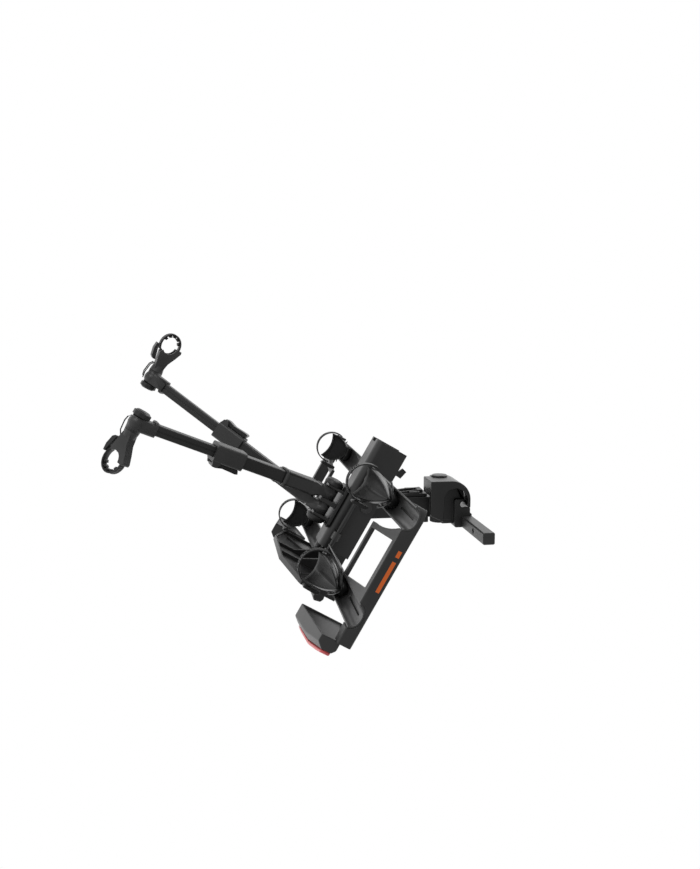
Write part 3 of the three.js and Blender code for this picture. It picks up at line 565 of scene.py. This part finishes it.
def slot_shade_sheet(end, side):
    """A thin black sheet under the channel's slot, as painted shade seen through the slot."""
    bm = bmesh.new()
    rings = []
    for y, reach in SLOT_SHADE["stations"]:
        top = reach + SLOT_SHADE["flare"]
        rings.append([(-reach, y, SLOT_SHADE["low"]), (reach, y, SLOT_SHADE["low"]),
                      (top, y, SLOT_SHADE["high"]), (-top, y, SLOT_SHADE["high"])])
    loft(bm, rings)
    node = f"channel_{end}_{side}"
    place = side_frame(side) @ Matrix.Translation((RAILS[end], 0, 0))
    made = piece(node + "_slot_shade", mesh_of(node + "_slot_shade", bm, place), NODE_BODY[node], PIN_BLACK)
    soften(made, 0.4)


def band(bm, start, stop, inner, outer, y0, y1, steps):
    """Part of a hoop between two angles, in degrees."""
    rings = []
    for i in range(steps + 1):
        a = math.radians(start + (stop - start) * i / steps)
        c, s = math.cos(a), math.sin(a)
        rings.append([(inner * c, y0, inner * s), (outer * c, y0, outer * s),
                      (outer * c, y1, outer * s), (inner * c, y1, inner * s)])
    loft(bm, rings)


STRUT_STEPS = 4


def slanted(bm, a0, y0, a1, y1, inner, outer, width):
    """A strut of the strap's truss, from (angle, y) to (angle, y)."""
    mid = (inner + outer) / 2
    run = math.radians(a1 - a0) * mid
    length = math.hypot(run, y1 - y0)
    off_a = math.degrees(-(y1 - y0) / length * width / 2 / mid)
    off_y = run / length * width / 2
    rings = []
    for i in range(STRUT_STEPS + 1):
        t = i / STRUT_STEPS
        ring = []
        for radius, sign in ((inner, -1), (outer, -1), (outer, 1), (inner, 1)):
            a = math.radians(a0 + (a1 - a0) * t + sign * off_a)
            y = y0 + (y1 - y0) * t + sign * off_y
            ring.append((radius * math.cos(a), y, radius * math.sin(a)))
        rings.append(ring)
    loft(bm, rings)


# The open truss runs between two angles, in degrees, with solid strap to its ends on both sides.
TRUSS = {"start": 50, "stop": 154, "ends": (-14, 194), "cells": 7, "rail": 3.2, "strut": 2.6,
         "skin": 0.3, "front": 2.0}
TOOTH = {"count": 16, "first": 4, "step": 3, "size": (1.6, 9, 1.1), "sunk": 0.4}


def strap_piece(end, side):
    """The wheel strap: a hoop with an open truss over its top and fine teeth inside."""
    inner, outer = HOOP["inner"], HOOP["outer"]
    low, high = -HOOP["width"], TRUSS["front"]
    start, stop, rail = TRUSS["start"], TRUSS["stop"], TRUSS["rail"]
    bm = bmesh.new()
    band(bm, TRUSS["ends"][0], start, inner, outer, low, high, 14)
    band(bm, stop, TRUSS["ends"][1], inner, outer, low, high, 9)
    band(bm, start, stop, inner, outer, low, low + rail, 22)
    band(bm, start, stop, inner, outer, high - rail, high, 22)
    step = (stop - start) / TRUSS["cells"]
    back, fore = low + rail / 2, high - rail / 2
    skin = (inner + TRUSS["skin"], outer - TRUSS["skin"], TRUSS["strut"])
    for i in range(TRUSS["cells"]):
        a = start + step * i
        slanted(bm, a, back, a + step / 2, fore, *skin)
        slanted(bm, a + step / 2, fore, a + step, back, *skin)
    reach = inner - TOOTH["sunk"]
    for i in range(TOOTH["count"]):
        a = math.radians(TOOTH["first"] + TOOTH["step"] * i)
        box(bm, (reach * math.cos(a), (low + high) / 2, reach * math.sin(a)), TOOTH["size"],
            Matrix.Rotation(-a, 4, "Y"))
    node = f"wheel_strap_{end}_{side}"
    place = side_frame(side) @ Matrix.Translation((RAILS[end], HOOP["y"], HOOP["z"]))
    made = piece(node + "_truss", mesh_of(node, bm, place), NODE_BODY[node], STRAP)
    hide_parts(node)
    soften(made, 0.5, 40)


for side in SIDES:
    for end in RAILS:
        scoop_piece(end, side)
        strap_piece(end, side)
        slot_shade_sheet(end, side)

# ---- frame clamp straps --------------------------------------------------------------------------
CLAMP = {"centre": 110, "rx": 36, "rz": 31, "thick": 5, "half": 9, "end": 128}
# In steps along the strap: one ridge to a pitch, and none within the plain middle.
RIBS = {"steps": 96, "pitch": 4, "ridge": 2, "plain": 8}
GRIP = {"angles": (-60, -30, 0, 30, 60), "inset": 7.6, "size": (6.5, 14, 8)}
BAIL = ((46, -8, 19), (36, -8, 27), (10, -8, 31), (-2, -7, 29), (-8, 0, 27), (-2, 7, 29),
        (10, 8, 31), (36, 8, 27), (46, 8, 19))
WIRE_SIDES = 8
WIRE_RADIUS = 1.7
ASIDE = Vector((0.3, 1, 0.2))             # a direction that no part of a wire runs along


def wire(bm, points):
    """A round wire through the points."""
    path = [Vector(p) for p in points]
    rings = []
    for i, point in enumerate(path):
        ahead = (path[min(i + 1, len(path) - 1)] - path[max(i - 1, 0)]).normalized()
        across = ahead.cross(ASIDE).normalized()
        lift = ahead.cross(across)
        rings.append([point + WIRE_RADIUS * (math.cos(a) * across + math.sin(a) * lift)
                      for a in (2 * math.pi * k / WIRE_SIDES for k in range(WIRE_SIDES))])
    loft(bm, rings)


def clamp_strap(name):
    """The ladder strap with its ribbed outside and the rubber teeth that grip a frame tube."""
    rx, rz, thick, half = CLAMP["rx"], CLAMP["rz"], CLAMP["thick"], CLAMP["half"]
    steps, middle = RIBS["steps"], RIBS["steps"] // 2
    bm = bmesh.new()
    rings = []
    for i in range(steps + 1):
        a = math.radians(-CLAMP["end"] + 2 * CLAMP["end"] * i / steps)
        c, s = math.cos(a), math.sin(a)
        ridge = i % RIBS["pitch"] < RIBS["ridge"] and abs(i - middle) > RIBS["plain"]
        low = 0.0 if ridge else 1.0
        section = ((thick, -half), (0, -half), (0, -half + 3), (low, -half + 4),
                   (low, half - 4), (0, half - 3), (0, half), (thick, half))
        rings.append([(CLAMP["centre"] + (rx - inset) * c, y, (rz - inset) * s)
                      for inset, y in section])
    loft(bm, rings)
    for angle in GRIP["angles"]:
        turn = math.radians(angle)
        place = (CLAMP["centre"] + (rx - GRIP["inset"]) * math.cos(turn), 0,
                 (rz - GRIP["inset"]) * math.sin(turn))
        box(bm, place, GRIP["size"], Matrix.Rotation(-turn, 4, "Y"))
    node = f"frame_strap_{name}"
    made = piece(node + "_band", mesh_of(node, bm, head_frame(name)), NODE_BODY[node], STRAP)
    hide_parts(node)
    soften(made, 0.5, 30)
    bail = bmesh.new()
    wire(bail, BAIL)
    loop = piece(f"jaw_{name}_bail", mesh_of("bail", bail, head_frame(name)), NODE_BODY[node],
                 PIN_BLACK)
    soften(loop, 0)


for name in ARMS:
    clamp_strap(name)

# ---- camera, light and floor ---------------------------------------------------------------------
CAMERA_PLACE = (-0.6974, -2.1791, 0.5611)
CAMERA_AXES = ((0.98835, -0.15221, 0.0),          # to the right, up, and back from the object
               (0.01939, 0.12593, 0.99185),
               (-0.15097, -0.98029, 0.12741))

camera = bpy.data.objects.new("camera", bpy.data.cameras.new("camera"))
SCENE.collection.objects.link(camera)
SCENE.camera = camera
camera.matrix_world = Matrix.LocRotScale(
    Vector(CAMERA_PLACE), Matrix(CAMERA_AXES).transposed().to_quaternion(), None)
camera.data.sensor_width = 36
camera.data.lens = 37.28
camera.data.clip_start = 0.05
camera.data.clip_end = 200

world = bpy.data.worlds.new("studio")
SCENE.world = world
world.use_nodes = True
sky = world.node_tree
direction = linked(sky, "ShaderNodeTexCoord").outputs["Generated"]
split = linked(sky, "ShaderNodeSeparateXYZ", {"Vector": direction})
behind = linked(sky, "ShaderNodeMapRange", {"Value": split.outputs["Y"], "From Min": -0.35,
                                            "From Max": 0.85, "To Min": 0.46, "To Max": 1.1},
                interpolation_type="SMOOTHSTEP")
beside = linked(sky, "ShaderNodeMapRange", {"Value": split.outputs["X"], "From Min": -0.3,
                                            "From Max": -0.95, "To Min": 0.0, "To Max": 0.38},
                interpolation_type="SMOOTHSTEP")
total = linked(sky, "ShaderNodeMath", {0: behind.outputs["Result"], 1: beside.outputs["Result"]})
lit = linked(sky, "ShaderNodeBackground", {"Color": grey(1.0), "Strength": total.outputs[0]})
plain = linked(sky, "ShaderNodeBackground", {"Color": grey(1.0), "Strength": 1.0})
seen = linked(sky, "ShaderNodeLightPath").outputs["Is Camera Ray"]
mixed = linked(sky, "ShaderNodeMixShader", {0: seen, 1: lit.outputs[0], 2: plain.outputs[0]})
sky.links.new(mixed.outputs[0], sky.nodes["World Output"].inputs["Surface"])


def softbox(name, place, target, size, power):
    """A soft rectangular light that faces its target."""
    light = bpy.data.lights.new(name, "AREA")
    light.shape = "RECTANGLE"
    light.size, light.size_y = size
    light.energy = power
    made = bpy.data.objects.new(name, light)
    SCENE.collection.objects.link(made)
    made.location = place
    made.rotation_mode = "QUATERNION"
    made.rotation_quaternion = (Vector(target) - Vector(place)).to_track_quat("-Z", "Y")


softbox("key", (-1.4, -1.6, 2.6), (-0.3, 0.3, 0.1), (2.0, 1.2), 29)
softbox("rim", (1.8, 1.8, 1.8), (-0.2, 0.3, 0.0), (1.8, 1.8), 30)

FLOOR = {"level": -4.0, "reach": 60}


def pale_floor():
    """A plain pale floor, so low that the views from below still stay above it."""
    finish = bpy.data.materials.new("pale_floor")
    finish.use_nodes = True
    tree = finish.node_tree
    tree.nodes.clear()
    pale = linked(tree, "ShaderNodeEmission", {"Color": grey(1.0), "Strength": 1.0})
    linked(tree, "ShaderNodeOutputMaterial", {"Surface": pale.outputs[0]})
    bm = bmesh.new()
    bmesh.ops.create_circle(bm, cap_ends=True, segments=64, radius=FLOOR["reach"])
    mesh = bpy.data.meshes.new("pale_floor")
    bm.to_mesh(mesh)
    bm.free()
    mesh.materials.append(finish)
    floor = bpy.data.objects.new("pale_floor", mesh)
    floor.location.z = FLOOR["level"]
    floor.visible_diffuse = False
    floor.visible_glossy = False
    floor.visible_shadow = False
    SCENE.collection.objects.link(floor)


pale_floor()

SCENE.view_settings.view_transform = "Standard"
SCENE.view_settings.look = "None"
